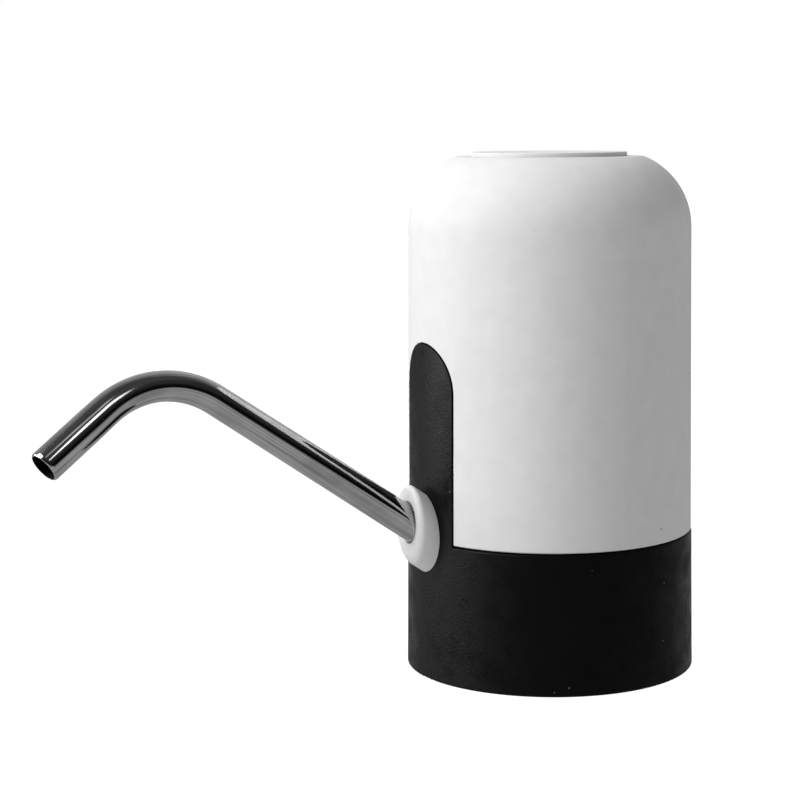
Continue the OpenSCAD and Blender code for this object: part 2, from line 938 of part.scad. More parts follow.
// Pump body: gear chamber, outlet barb in front and the grip for the motor above
module pump_body() {
    color([0.8, 0.81, 0.82])
        difference() {
            union() {
                translate([0, 0, pump_z])
                    linear_extrude(crown_z - pump_z)
                        block_outline();
                translate([0, 0, pump_z])
                    linear_extrude(ear_top - pump_z)
                        ear_outline();
                at_drive()
                    ring(motor_r + run_fit + grip_wall, 0, crown_z - eps, motor_z + grip_h);
                translate([0, mesh_y, outlet_z])
                    rotate([90, 0, 0])
                        cylinder(r = hose_r, h = hose_turn_d - barb_short + mesh_y);
            }
            translate([0, 0, pump_z - eps])
                linear_extrude(chamber_top - pump_z + eps)
                    chamber_outline();
            translate([0, mesh_y - port_y, outlet_z])
                rotate([90, 0, 0])
                    cylinder(r = port_r, h = leg_d);
            at_drive() {
                translate([0, 0, motor_z])
                    cylinder(r = motor_r + run_fit, h = grip_h + cut_over);
                translate([0, 0, motor_z - boss_h - seal_t - seat_fit])
                    cylinder(r = seal_r, h = boss_h + seal_t + cut_over);
                translate([0, 0, pump_z])
                    cylinder(r = shaft_r + run_fit, h = motor_z - pump_z);
            }
            translate([driven_at.x, driven_at.y, pump_z])
                cylinder(r = shaft_r, h = chamber_top - pump_z + pin_in);
            ear_holes(screw_r, pump_z - eps, ear_top - pump_z - ear_cap);
        }
}

// Bottom cover with the inlet barb
module pump_cover() {
    barb_l = cover_z - nipple_top - barb_gap;
    color([0.8, 0.81, 0.82])
        difference() {
            union() {
                translate([0, 0, cover_z])
                    linear_extrude(cover_t) {
                        block_outline();
                        ear_outline();
                    }
                translate([0, 0, cover_z - barb_l])
                    cylinder(r = hose_r, h = barb_l + eps);
            }
            translate([0, 0, cover_z - barb_l - eps])
                cylinder(r = port_r, h = barb_l + cover_t + 2 * eps);
            translate([drive_at.x, drive_at.y, cover_z + bearing_floor])
                cylinder(r = shaft_r + run_fit, h = cover_t);
            translate([driven_at.x, driven_at.y, cover_z + bearing_floor])
                cylinder(r = shaft_r, h = cover_t);
            ear_holes(screw_r + seat_fit, cover_z - eps, cover_t + 2 * eps);
        }
}

module pump_gasket() {
    color([0.25, 0.25, 0.25])
        difference() {
            translate([0, 0, cover_z + cover_t])
                linear_extrude(pump_seal_t)
                    difference() {
                        union() {
                            block_outline();
                            ear_outline();
                        }
                        chamber_outline();
                    }
            ear_holes(screw_r + seat_fit, cover_z + cover_t - eps, pump_seal_t + 2 * eps);
        }
}

module pump_screws() {
    seat_z = plate_z + pump_screw_in - eps;
    color([0.6, 0.6, 0.62])
        for (s = [-1, 1])
            translate([s * ear_at.x, mesh_y - s * ear_at.y, seat_z])
                screw(screw_r, ear_top - 2 * ear_cap - seat_z);
}

// Point on an involute at a roll angle, as a radius and an angle
function roll_r(base_r, roll) = base_r * sqrt(1 + pow(roll * PI / 180, 2));
function roll_a(roll) = roll - atan(roll * PI / 180);
function polar(r, a) = [r * cos(a), r * sin(a)];

// Outline of a spur gear, with its first tooth centred on +X
module gear_outline() {
    base_r = gear_pitch_r * cos(gear_pressure);
    tip_roll = sqrt(pow(gear_tip_r / base_r, 2) - 1) * 180 / PI;
    pitch_a = tan(gear_pressure) * 180 / PI - gear_pressure;
    half = 90 / gear_teeth - gear_backlash / gear_pitch_r * 180 / PI + pitch_a;
    steps = 5;
    flank = [for (i = [0:steps])
        let (roll = tip_roll * i / steps)
        [roll_r(base_r, roll), half - roll_a(roll)]];
    polygon([for (k = [0:gear_teeth - 1])
        let (turn = 360 * k / gear_teeth)
        each concat(
            [polar(gear_root_r, turn - half)],
            [for (i = [0:steps]) polar(flank[i][0], turn - flank[i][1])],
            [for (i = [steps:-1:0]) polar(flank[i][0], turn + flank[i][1])],
            [polar(gear_root_r, turn + half)])]);
}

// A gear in the chamber, at an angle that meshes it with its mate
module gear(at, turn, bore) {
    translate([at.x, at.y, pump_z + chamber_gap])
        difference() {
            rotate(turn)
                linear_extrude(gear_t)
                    gear_outline();
            translate([0, 0, -eps])
                cylinder(r = bore, h = gear_t + 2 * eps);
        }
}

module drive_gear() {
    color([0.93, 0.92, 0.88])
        gear(drive_at, 0, shaft_r);
}

module driven_gear() {
    mate_turn = 180 + 180 / gear_teeth;
    color([0.93, 0.92, 0.88])
        gear(driven_at, mate_turn, shaft_r + run_fit);
}

module idler_pin() {
    color([0.7, 0.7, 0.72])
        translate([driven_at.x, driven_at.y, cover_z + bearing_floor])
            cylinder(r = shaft_r, h = chamber_top + pin_in - cover_z - bearing_floor);
}

module shaft_seal() {
    bottom = motor_z - boss_h - seal_t - seat_fit;
    color([0.12, 0.12, 0.12])
        at_drive()
            ring(seal_r, shaft_r + run_fit, bottom, bottom + seal_t);
}

// Drawn steel cup of the motor
module motor_can() {
    color([0.66, 0.67, 0.69])
        at_drive()
            difference() {
                union() {
                    translate([0, 0, motor_z])
                        cylinder(r = motor_r, h = motor_l);
                    translate([0, 0, motor_z - boss_h])
                        cylinder(r = boss_r, h = boss_h + eps);
                }
                translate([0, 0, motor_z + can_wall])
                    cylinder(r = motor_r - can_wall, h = motor_l);
                translate([0, 0, motor_z - boss_h - eps])
                    cylinder(r = bush_out_r, h = boss_h + can_wall + 2 * eps);
            }
}

module motor_endcap() {
    color([0.1, 0.1, 0.11])
        at_drive()
            difference() {
                union() {
                    translate([0, 0, endcap_z])
                        cylinder(r = motor_r - can_wall - run_fit, h = endcap_t);
                    translate([0, 0, endcap_z])
                        cylinder(r = endcap_boss_r, h = endcap_t + endcap_boss_h);
                }
                translate([0, 0, endcap_z - eps])
                    cylinder(r = bush_out_r, h = bush_len + eps);
                translate([0, 0, endcap_z])
                    cylinder(r = shaft_r + run_fit, h = endcap_t + endcap_boss_h / 2);
                for (s = [-1, 1])
                    translate([s * terminal_far, 0, endcap_z + endcap_t / 2])
                        cube(
                            [terminal_t + seat_fit, terminal_w + 2 * seat_fit, endcap_t + cut_over],
                            center = true);
            }
}

module motor_terminals() {
    color([0.8, 0.66, 0.3])
        at_drive()
            for (s = [-1, 1])
                translate([s * terminal_far - terminal_t / 2, -terminal_w / 2, endcap_z])
                    cube([terminal_t, terminal_w, endcap_t + terminal_h]);
}

module motor_magnets() {
    color([0.3, 0.3, 0.32])
        at_drive()
            for (s = [0, 180])
                rotate(s - magnet_half)
                    translate([0, 0, core_z - magnet_over])
                        rotate_extrude(angle = 2 * magnet_half)
                            translate([motor_r - can_wall - magnet_t, 0])
                                square([magnet_t, core_l + 2 * magnet_over]);
}

module motor_bushes() {
    color([0.72, 0.52, 0.28])
        at_drive() {
            ring(bush_out_r, shaft_r + run_fit, motor_z - boss_h, motor_z - boss_h + bush_len);
            ring(bush_out_r, shaft_r + run_fit, endcap_z, endcap_z + bush_len);
        }
}

module motor_shaft() {
    color([0.75, 0.76, 0.78])
        at_drive()
            ring(shaft_r, 0, cover_z + bearing_floor + free_gap, endcap_z + endcap_t + free_gap);
}

// Outline of a three-pole armature: a hub, and three arms with curved shoes
module armature_outline() {
    hub_wall = 2.2;
    hub_r = shaft_r + hub_wall;
    arm_w = 3;
    shoe_t = 2;
    shoe_half = 48;
    difference() {
        union() {
            circle(hub_r);
            for (i = [0:2])
                rotate(120 * i) {
                    translate([0, -arm_w / 2])
                        square([core_r - shoe_t / 2, arm_w]);
                    intersection() {
                        difference() {
                            circle(core_r);
                            circle(core_r - shoe_t);
                        }
                        polygon([[0, 0], for (a = [-shoe_half, 0, shoe_half]) polar(2 * core_r, a)]);
                    }
                }
        }
        circle(shaft_r);
    }
}

module rotor_core() {
    color([0.45, 0.3, 0.22])
        at_drive()
            translate([0, 0, core_z])
                linear_extrude(core_l)
                    armature_outline();
}

module commutator() {
    bottom = core_z + core_l + free_gap;
    color([0.78, 0.5, 0.3])
        at_drive()
            ring(commutator_r, shaft_r, bottom, endcap_z - free_gap);
}

// Rechargeable cell
module battery_cell() {
    color([0.2, 0.42, 0.62])
        translate([cell_at.x, cell_at.y, cell_z])
            union() {
                cylinder(r = cell_r, h = cell_l - cell_cap_h);
                translate([0, 0, cell_l - cell_cap_h - eps])
                    cylinder(r = cell_cap_r, h = cell_cap_h + eps);
            }
}

module battery_tabs() {
    color([0.78, 0.78, 0.76])
        translate([cell_at.x, cell_at.y, 0])
            rotate(lead_angle)
                for (z = [plate_z, cell_z + cell_l])
                    translate([-tab_in, -tab_w / 2, z])
                        cube([tab_in + cell_r - tab_short, tab_w, tab_t]);
}

// Round board under the button
module control_board() {
    color([0.05, 0.3, 0.16])
        difference() {
            translate([0, 0, board_z])
                cylinder(d = board_d, h = board_t);
            in_thirds(boss_far, boss_turn)
                translate([0, 0, board_z - eps])
                    cylinder(r = screw_r + seat_fit, h = board_t + 2 * eps);
        }
}

module board_screws() {
    color([0.6, 0.6, 0.62])
        in_thirds(boss_far, boss_turn)
            translate([0, 0, board_z])
                screw(screw_r, board_t + screw_grip);
}

module switch_body() {
    color([0.12, 0.12, 0.13])
        translate([0, 0, board_top])
            difference() {
                translate([-switch_w / 2, -switch_w / 2, 0])
                    cube([switch_w, switch_w, switch_h]);
                translate([0, 0, switch_floor])
                    cylinder(r = plunger_r + run_fit, h = switch_h);
            }
}

// Stem of the switch, which travels with the button
module switch_plunger() {
    bottom = board_top + plunger_free + button_travel;
    color([0.85, 0.2, 0.16])
        translate([0, 0, bottom])
            cylinder(r = plunger_r, h = plunger_top - bottom);
}

module status_leds() {
    color([0.75, 0.85, 0.95])
        for (s = [-1, 1])
            translate([s * led_far, 0, board_top])
                union() {
                    cylinder(r = led_r, h = led_r + eps);
                    translate([0, 0, led_r + eps])
                        sphere(led_r);
                }
}

// Half section of the button: dished top, skirt and the flange that the shell's top holds down
module button_section() {
    skirt_wall = 1.5;
    flange_bottom = button_flange_z - skirt_wall;
    dish_r = button_r - button_lip;
    ball_r = (dish_r * dish_r + dish_depth * dish_depth) / (2 * dish_depth);
    difference() {
        union() {
            translate([0, button_floor])
                square([button_r, button_top - button_floor]);
            translate([button_r - skirt_wall, flange_bottom])
                square([skirt_wall, button_top - flange_bottom]);
            translate([button_r - skirt_wall, flange_bottom])
                square([skirt_wall + button_flange_r - button_r, skirt_wall]);
            translate([0, plunger_top])
                square([button_post_r, button_top - plunger_top]);
        }
        translate([0, button_top - dish_depth + ball_r])
            circle(ball_r, $fn = 720);
        corner_break(button_r, button_top, 1, 1, button_lip / 2);
    }
}

// Dished button with a post over the switch
module button_cap() {
    color("white")
        rotate_extrude()
            button_section();
}

// Charging board on its posts, with its back edge rounded to the shell
module charge_board() {
    color([0.05, 0.3, 0.16])
        difference() {
            intersection() {
                translate([-charge_half, charge_front, charge_z])
                    cube([2 * charge_half, body_r - charge_front, board_t]);
                cylinder(r = inner_r - free_gap, h = body_h);
            }
            for (s = [-1, 1])
                translate([s * charge_post.x, charge_post.y, charge_z - eps])
                    cylinder(r = screw_r + seat_fit, h = board_t + 2 * eps);
        }
}

module charge_screws() {
    color([0.6, 0.6, 0.62])
        for (s = [-1, 1])
            translate([s * charge_post.x, charge_post.y, usb_z])
                rotate([180, 0, 0])
                    screw(screw_r, board_t + screw_grip);
}

// Folded steel shell of the charging socket, with its contact tongue
module usb_socket() {
    skin = 0.3;
    back = 0.8;
    depth = usb_d - back;
    blade_w = 3.6;
    blade_t = 0.6;
    blade_drop = 0.1;
    blade_short = 0.6;
    color([0.7, 0.7, 0.72])
        translate([0, usb_mouth - usb_d, usb_z])
            union() {
                difference() {
                    translate([-usb_w / 2, 0, 0])
                        cube([usb_w, usb_d, usb_h]);
                    translate([skin - usb_w / 2, usb_d - depth, skin])
                        cube([usb_w - 2 * skin, depth + eps, usb_h - 2 * skin]);
                }
                translate([-blade_w / 2, usb_d - depth - eps, usb_h / 2 - blade_drop])
                    cube([blade_w, depth - blade_short, blade_t]);
            }
}

// A lead that leaves its foot upwards, steps aside and reaches the control board from below
module lead(foot, aside) {
    rise = board_z - solder_t - foot.z;
    wire([for (s = [[0, 0], [0, 0.25], [0.5, 0.5], [1, 0.75], [1, 1]])
        foot + [s[0] * aside.x, s[0] * aside.y, s[1] * rise]], wire_r);
}

module motor_leads() {
    color([0.7, 0.1, 0.1])
        for (s = [-1, 1])
            lead([drive_at.x + s * terminal_far, drive_at.y, endcap_z + endcap_t + terminal_h + solder_t],
                [0, lead_step]);
}

module battery_leads() {
    side = cell_at + polar(cell_r + wire_r + free_gap, lead_angle);
    color([0.1, 0.1, 0.1]) {
        lead([cell_at.x, cell_at.y, cell_z + cell_l + tab_t + solder_t], polar(lead_step, lead_angle));
        lead([side.x, side.y, plate_z + solder_t], polar(lead_step / 2, lead_angle));
    }
}

module charge_leads() {
    color([0.7, 0.1, 0.1])
        for (s = [0, 1])
            lead([-charge_lead_in - s * charge_lead_gap, charge_front + charge_lead_in, usb_z + solder_t],
                [0, wire_r]);
}

upper_shell();
base_ring();
neck_sleeve();
neck_gasket();
inlet_nipple();
nipple_gasket();
nipple_nut();
spout_collar();
spout_bush();
spout_tube();
outlet_elbow();
inlet_hose();
outlet_hose();
carrier();
carrier_screws();
pump_body();
pump_cover();
pump_gasket();
pump_screws();
drive_gear();
driven_gear();
idler_pin();
shaft_seal();
motor_can();
motor_endcap();
motor_magnets();
motor_bushes();
motor_terminals();
motor_shaft();
rotor_core();
commutator();
battery_cell();
battery_tabs();
control_board();
board_screws();
switch_body();
switch_plunger();
status_leds();
button_cap();
charge_board();
charge_screws();
usb_socket();
motor_leads();
battery_leads();
charge_leads();
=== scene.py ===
"""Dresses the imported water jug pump: its finishes, a smooth collar and spout, and a small studio."""

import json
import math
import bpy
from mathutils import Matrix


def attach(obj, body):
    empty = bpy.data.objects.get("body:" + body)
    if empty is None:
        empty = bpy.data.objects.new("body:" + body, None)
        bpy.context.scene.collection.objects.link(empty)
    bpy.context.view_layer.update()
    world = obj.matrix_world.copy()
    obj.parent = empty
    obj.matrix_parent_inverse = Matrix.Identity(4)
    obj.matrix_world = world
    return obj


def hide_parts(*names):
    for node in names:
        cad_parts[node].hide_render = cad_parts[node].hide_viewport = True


bl_info = {
    "name": "Water jug pump",
    "version": (1, 0, 0),
    "blender": (4, 5, 0),
    "location": "3D View > Sidebar > Jug Pump",
    "description": "Gives the packed water jug pump its finishes, fine pieces, lights and camera",
    "category": "Object",
}

import bmesh
import bpy
from bpy.props import FloatProperty, FloatVectorProperty, IntProperty, PointerProperty
from bpy.types import Operator, Panel, PropertyGroup
from mathutils import Matrix, Vector

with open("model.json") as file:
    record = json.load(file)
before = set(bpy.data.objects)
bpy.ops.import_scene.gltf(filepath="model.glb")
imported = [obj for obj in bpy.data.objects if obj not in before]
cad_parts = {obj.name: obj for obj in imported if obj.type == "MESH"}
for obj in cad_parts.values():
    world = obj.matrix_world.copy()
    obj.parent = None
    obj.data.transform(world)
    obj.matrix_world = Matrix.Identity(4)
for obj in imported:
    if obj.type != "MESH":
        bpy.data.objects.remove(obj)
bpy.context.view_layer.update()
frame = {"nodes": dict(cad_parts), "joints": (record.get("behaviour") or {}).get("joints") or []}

# The middle of the collar's face, and the line that the spout leaves it along
SWIVEL = next(joint for joint in frame["joints"] if joint["name"] == "spout_swivel")
FACE = Vector(SWIVEL["pos_m"])
ALONG = Vector(SWIVEL["axis"]).normalized()

# Names of the shared node groups, and of the attribute that runs along the drawn tube
GRAIN = "moulded grain"
SPECKS = "dust specks"
DRAWN = "drawn_line"

# Moulded finishes: grains in a metre, patches in a metre, how much of the noise shows, and bump
GRAIN_SCALE = 2500.0
PATCH_SCALE = 60.0
MOULDED_PATCH = (0.3, 0.7)
MOULDED_BUMP = 0.5

# Specks: cells in a metre, a speck's size in its cell, and the share of cells that hold one
SHELL_SPECKS = (160.0, 0.06, 0.5)
BASE_SPECKS = (300.0, 0.09, 0.7)

# Metal finishes: marks and smears in a metre, bump, depth of the marks, soft edges, range of roughness
METAL_GRAIN = 900.0
METAL_SMEARS = 130.0
METAL_BUMP = 0.3
METAL_DEPTH = 0.000004
METAL_EDGE = 0.00015
METAL_GLOSS = (0.8, 1.5)

# Lines of the drawn tube: how close they lie round it, and along it in a metre
DRAWN_STRETCH = (14.0, 14.0, 30.0)

# Clear lenses: grains in a metre, clearness, tone of the darker patches, range of roughness
LENS_GRAIN = 1500.0
LENS_CLEAR = 0.8
LENS_SHADE = 0.9
LENS_GLOSS = (0.05, 0.15)

# Angles past which an edge is sharp, or is a rim to be rounded
SHARP_ANGLE = math.radians(35)
RIM_ANGLE = math.radians(30)

# Rings of the mouth's rounding, as parts of its depth behind the face
MOUTH_STEPS = (1.0, 0.3, 0.0)

# Soft lights: name, power, place (left, toward the camera, up), size, and if matt surfaces take it
LIGHTS = (
    ("key light", "key_power", (0.66, 0.24, 0.58), (0.6, 0.6), True),
    ("front light", "front_power", (-0.34, 0.54, 0.58), (0.26, 0.18), True),
    ("top strip", "top_power", (-0.02, 0.46, 0.80), (0.24, 0.12), True),
    ("side card", "card_power", (0.78, 0.04, 0.12), (0.70, 0.36), False),
)

# The point that the soft lights face, and that their places are measured from
LIT_POINT = Vector((0.0, -0.02, 0.07))

# Floor: size, brightness to the camera by distance, fade of its mirrored light, and its matt share
FLOOR_SIDES = 96
FLOOR_RADIUS = 6.0
FLOOR_SPAN = (0.15, 0.6)
FLOOR_SEEN = (1.16, 1.3)
FLOOR_FADE = (0.8, 1.2)
FLOOR_TONE = (0.9, 0.9, 0.9, 1.0)
FLOOR_MATT = 0.12

# Surroundings: the directions over which the wall and the ceiling come in
WALL_SPAN = (0.1, 0.9)
CEILING_SPAN = (0.1, 1.0)
PLAIN_WHITE = (1.0, 1.0, 1.0, 1.0)

# Camera: width of its sensor in millimetres, and the nearest that it sees in metres
SENSOR = 36.0
CLIP_START = 0.01


def colour(label, description, default):
    """A colour that a user may change."""
    return FloatVectorProperty(
        name=label, description=description, default=default, subtype="COLOR", size=3, min=0.0, max=1.0
    )


def length(label, description, default):
    """A length in metres that a user may change."""
    return FloatProperty(
        name=label, description=description, default=default, subtype="DISTANCE", unit="LENGTH", precision=5
    )


def angle(label, description, degrees):
    """An angle that a user may change, given in degrees."""
    return FloatProperty(name=label, description=description, default=math.radians(degrees), subtype="ANGLE")


def share(label, description, default):
    """A number from 0 to 1 that a user may change."""
    return FloatProperty(
        name=label, description=description, default=default, min=0.0, max=1.0, subtype="FACTOR"
    )


def amount(label, description, default):
    """A plain number that a user may change."""
    return FloatProperty(name=label, description=description, default=default)


def count(label, description, default, low, high):
    """A whole number that a user may change."""
    return IntProperty(name=label, description=description, default=default, min=low, max=high)


class FinishSettings(PropertyGroup):
    """Colours and gloss of what shows from outside."""

    shell: colour("Shell", "White moulded housing, collar and button", (0.80, 0.80, 0.80))
    shell_speck: colour("Shell specks", "Tiny specks on the white moulding", (0.42, 0.42, 0.42))
    base: colour("Base", "Black moulded base and tongue", (0.0025, 0.0025, 0.0025))
    base_speck: colour("Base specks", "Dust on the black moulding", (0.12, 0.12, 0.12))
    steel: colour("Spout", "Polished steel of the spout", (0.60, 0.60, 0.60))
    # Colour of the spout's bore: painted shade, near black for the dark inside the tube
    bore: colour("Spout bore", "Rough inside of the spout, its colour painted near black as shade", (0.008, 0.008, 0.008))
    grip: colour("Sleeve", "Ribbed sleeve that grips the jug", (0.05, 0.05, 0.053))
    silicone: colour("Silicone", "Gasket, bush and hoses", (0.72, 0.73, 0.72))
    natural: colour("Natural plastic", "Nipple, elbow and pump", (0.68, 0.69, 0.69))
    rubber: colour("Rubber", "Small black seals", (0.02, 0.02, 0.02))
    shell_roughness: share("Shell roughness", "Softness of the white housing's gloss", 0.55)
    shell_gloss: share("Shell gloss", "Strength of the white housing's reflections", 0.08)
    base_roughness: share("Base roughness", "Softness of the black base's gloss", 0.40)
    base_gloss: share("Base gloss", "Strength of the black base's reflections", 0.10)
    steel_roughness: share("Spout roughness", "Softness of the spout's reflections", 0.08)


class WorksSettings(PropertyGroup):
    """Colours of the works inside the housing."""

    gears: colour("Gears", "Moulded gears", (0.74, 0.70, 0.60))
    carrier: colour("Carrier", "Plate that carries the works", (0.05, 0.05, 0.055))
    plated: colour("Plated steel", "Screws, motor can, shaft and charging socket", (0.56, 0.56, 0.57))
    insulator: colour("Insulator", "Motor's end cap and switch", (0.02, 0.02, 0.022))
    brass: colour("Brass", "Terminals, bushes and commutator", (0.72, 0.50, 0.22))
    magnets: colour("Magnets", "Sintered magnets", (0.06, 0.06, 0.065))
    armature: colour("Armature", "Varnished armature", (0.24, 0.10, 0.05))
    cell: colour("Cell", "Sleeve of the cell", (0.03, 0.14, 0.30))
    boards: colour("Boards", "Lacquered boards", (0.012, 0.09, 0.045))
    stem: colour("Switch stem", "Stem of the switch", (0.45, 0.03, 0.02))
    lens: colour("Light lens", "Lenses of the two lights", (0.85, 0.90, 0.95))
    red_lead: colour("Red lead", "Leads of the motor and the charging board", (0.40, 0.012, 0.012))
    black_lead: colour("Black lead", "Leads of the cell", (0.012, 0.012, 0.012))


class SpoutSettings(PropertyGroup):
    """Sizes of the bent steel spout, on the line that the frame has."""

    wall: length("Wall", "Thickness of the tube's wall", 0.0006)
    run: length("Rising run", "From the collar's face to the corner of the two runs", 0.0774)
    tip: length("Falling run", "From that corner to the tip", 0.0368)
    bend: length("Bend radius", "Radius of the bend at the tube's centre", 0.0245)
    inner: length("Inner end", "How far the tube reaches in behind the collar's face", 0.0106)
    rim: length("Rim rounding", "Rounding of the cut ends' edges", 0.00008)
    land: length("Rim land", "Plain length behind the inner end", 0.0004)
    roll: length("Rolled length", "Length over which the tip's edge is rolled in", 0.0010)
    roll_in: length("Rolled depth", "Depth of the tip's rolled edge at a full quarter turn", 0.0005)
    collar_radius: length("Radius at the collar", "Outside radius in and near the collar", 0.00400)
    drawn_radius: length("Radius before the bend", "Outside radius where the bend starts", 0.00370)
    bend_radius: length("Radius in the bend", "Outside radius in the middle of the bend", 0.00365)
    tip_radius: length("Radius at the tip", "Outside radius of the falling run", 0.00394)
    full_run: length("Full length", "How far the tube keeps its full radius outside the collar", 0.006)
    swell: length("Swell", "Length behind the bend over which the tube gets back its radius", 0.006)
    turn: angle("Turn", "Angle between the two runs", 70.0)
    swing: angle("Swing", "How far the tip is swung to the side", 11.0)
    roll_turn: angle("Rolled turn", "How far round the quarter turn the tip's edge is rolled", 66.0)
    sides: count("Sides", "Faces round the tube", 96, 16, 256)
    steps: count("Bend steps", "Faces along the bend", 40, 8, 128)
    roll_steps: count("Rolled steps", "Faces along the rolled edge", 8, 2, 32)


class CollarSettings(PropertyGroup):
    """Sizes of the white collar that holds the spout."""

    half_width: length("Half width", "From the middle of the collar's face to its side", 0.0073)
    half_height: length("Half height", "From the middle of the collar's face to its top", 0.00989)
    edge: length("Edge rounding", "Rounding of the edge of the face", 0.0015)
    mouth: length("Mouth radius", "Radius of the hole that the tube comes out of", 0.0043)
    mouth_edge: length("Mouth rounding", "Rounding of the mouth's edge", 0.0003)
    pocket: length("Pocket radius", "Radius of the pocket for the soft bush", 0.0051)
    pocket_in: length("Pocket end", "How far behind the face the pocket ends", 0.0049)
    neck: length("Neck radius", "Radius of the neck behind the base's wall", 0.0064)
    inner: length("Inner end", "How far the neck reaches in behind the face", 0.0108)
    seat: length("Seat radius", "Radius of the base that the collar sits on", 0.0362)
    sides: count("Sides", "Faces round the collar", 96, 16, 256)
    edge_steps: count("Edge steps", "Faces across the rounded edge", 8, 2, 32)


class StudioSettings(PropertyGroup):
    """Camera and lights."""

    camera_at: FloatVectorProperty(
        name="Camera",
        description="Place of the camera",
        default=(0.4512, -0.26511, 0.13829),
        subtype="TRANSLATION",
    )
    turn: angle("Turn", "Camera's turn round the pump", 62.6)
    pitch: angle("Pitch", "How far the camera looks down", 5.511)
    roll: angle("Roll", "Camera's turn about its own axis", -0.296)
    lens: amount("Lens", "Focal length in millimetres", 93.12)
    shift: FloatVectorProperty(
        name="Shift", description="Shift of the picture across the lens", default=(-0.05, -0.10), size=2
    )
    key_power: amount("Key", "Power of the large soft light at the left", 8.7)
    front_power: amount("Front", "Power of the small soft light at the right", 0.32)
    top_power: amount("Top", "Power of the faint strip above the camera", 0.045)
    card_power: amount("Card", "Power of the card that black gloss mirrors", 8.0)
    floor_fill: amount("Floor fill", "Light that the floor gives back", 0.65)
    floor_mirror: amount("Floor mirrored", "Brightness of the floor in gloss", 0.37)
    floor_end: length("Floor's end", "How far out the floor shows in gloss", 0.55)
    wall_light: amount("Wall", "Brightness of the wall behind the pump", 0.62)
    sky_light: amount("Ceiling", "Brightness of the dim ceiling in gloss", 0.10)
    sky_fill: amount("Ceiling fill", "Soft light that the ceiling gives", 0.35)


class Nodes:
    """A short way to add and join nodes in one tree."""

    def __init__(self, tree):
        self.tree = tree

    def add(self, kind, **values):
        """A new node, with values for its sockets or for its own settings."""
        node = self.tree.nodes.new(kind)
        sockets = {socket.name.lower().replace(" ", "_"): socket for socket in node.inputs}
        for name, value in values.items():
            if name in sockets:
                sockets[name].default_value = value
            else:
                setattr(node, name, value)
        return node

    def join(self, source, target):
        """A link from one socket to another."""
        self.tree.links.new(source, target)

    def feed(self, value, target):
        """Joins a socket to the target, or sets a plain value on it."""
        if isinstance(value, bpy.types.NodeSocket):
            self.join(value, target)
        else:
            target.default_value = value

    def math(self, operation, a, b):
        """The result of a sum on two numbers."""
        node = self.add("ShaderNodeMath", operation=operation)
        self.feed(a, node.inputs[0])
        self.feed(b, node.inputs[1])
        return node.outputs[0]

    def remap(self, value, low, high, to_low, to_high):
        """A number carried from one range to another, and held inside it."""
        node = self.add("ShaderNodeMapRange")
        self.join(value, node.inputs["Value"])
        node.inputs["From Min"].default_value = low
        node.inputs["From Max"].default_value = high
        node.inputs["To Min"].default_value = to_low
        node.inputs["To Max"].default_value = to_high
        return node.outputs["Result"]

    # A mix node has sockets of every kind: 2 and 3 are its numbers, and 6 and 7 its colours

    def choose(self, factor, off, on):
        """A number that goes from off to on as the factor rises."""
        node = self.add("ShaderNodeMix", data_type="FLOAT")
        self.join(factor, node.inputs[0])
        self.feed(off, node.inputs[2])
        self.feed(on, node.inputs[3])
        return node.outputs[0]

    def mix(self, factor, a, b):
        """A colour that goes from a to b as the factor rises."""
        node = self.add("ShaderNodeMix", data_type="RGBA")
        self.join(factor, node.inputs["Factor"])
        for socket, value in ((node.inputs[6], a), (node.inputs[7], b)):
            is_socket = isinstance(value, bpy.types.NodeSocket)
            self.feed(value if is_socket else (*value[:3], 1.0), socket)
        return node.outputs[2]


def new_group(name, inputs, outputs):
    """A shader node group with named number sockets, and its input and output nodes."""
    tree = bpy.data.node_groups.new(name, "ShaderNodeTree")
    for label, default in inputs:
        socket = tree.interface.new_socket(name=label, in_out="INPUT", socket_type="NodeSocketFloat")
        socket.default_value = default
    for label in outputs:
        tree.interface.new_socket(name=label, in_out="OUTPUT", socket_type="NodeSocketFloat")
    kit = Nodes(tree)
    return tree, kit, kit.add("NodeGroupInput"), kit.add("NodeGroupOutput")


def grain_group():
    """Fine moulded grain as a height, and slow patches of gloss as a value."""
    inputs = (("Scale", GRAIN_SCALE), ("Patch Scale", PATCH_SCALE))
    tree, kit, given, out = new_group(GRAIN, inputs, ("Height", "Patch"))
    place = kit.add("ShaderNodeTexCoord")
    for label, target, detail in (("Scale", "Height", 3.0), ("Patch Scale", "Patch", 4.0)):
        noise = kit.add("ShaderNodeTexNoise", detail=detail)
        kit.join(place.outputs["Object"], noise.inputs["Vector"])
        kit.join(given.outputs[label], noise.inputs["Scale"])
        kit.join(noise.outputs["Fac"], out.inputs[target])
    return tree


def speck_group():
    """Tiny scattered specks: a small dot in some cells of a random lattice."""
    inputs = (("Scale", 300.0), ("Size", 0.12), ("Share", 0.2))
    tree, kit, given, out = new_group(SPECKS, inputs, ("Mask",))
    place = kit.add("ShaderNodeTexCoord")
    cells = kit.add("ShaderNodeTexVoronoi", feature="F1")
    kit.join(place.outputs["Object"], cells.inputs["Vector"])
    kit.join(given.outputs["Scale"], cells.inputs["Scale"])
    channels = kit.add("ShaderNodeSeparateColor")
    kit.join(cells.outputs["Color"], channels.inputs["Color"])
    chosen = kit.math("LESS_THAN", channels.outputs["Red"], given.outputs["Share"])
    reach = kit.math("MULTIPLY", channels.outputs["Green"], given.outputs["Size"])
    near = kit.math("LESS_THAN", cells.outputs["Distance"], reach)
    kit.join(kit.math("MULTIPLY", chosen, near), out.inputs["Mask"])
    return tree


GROUP_MAKERS = {GRAIN: grain_group, SPECKS: speck_group}


def use_group(kit, name, **values):
    """Places a shared group in a material, building it on first use."""
    tree = bpy.data.node_groups.get(name) or GROUP_MAKERS[name]()
    node = kit.add("ShaderNodeGroup")
    node.node_tree = tree
    for label, value in values.items():
        node.inputs[label.replace("_", " ").title()].default_value = value
    return node


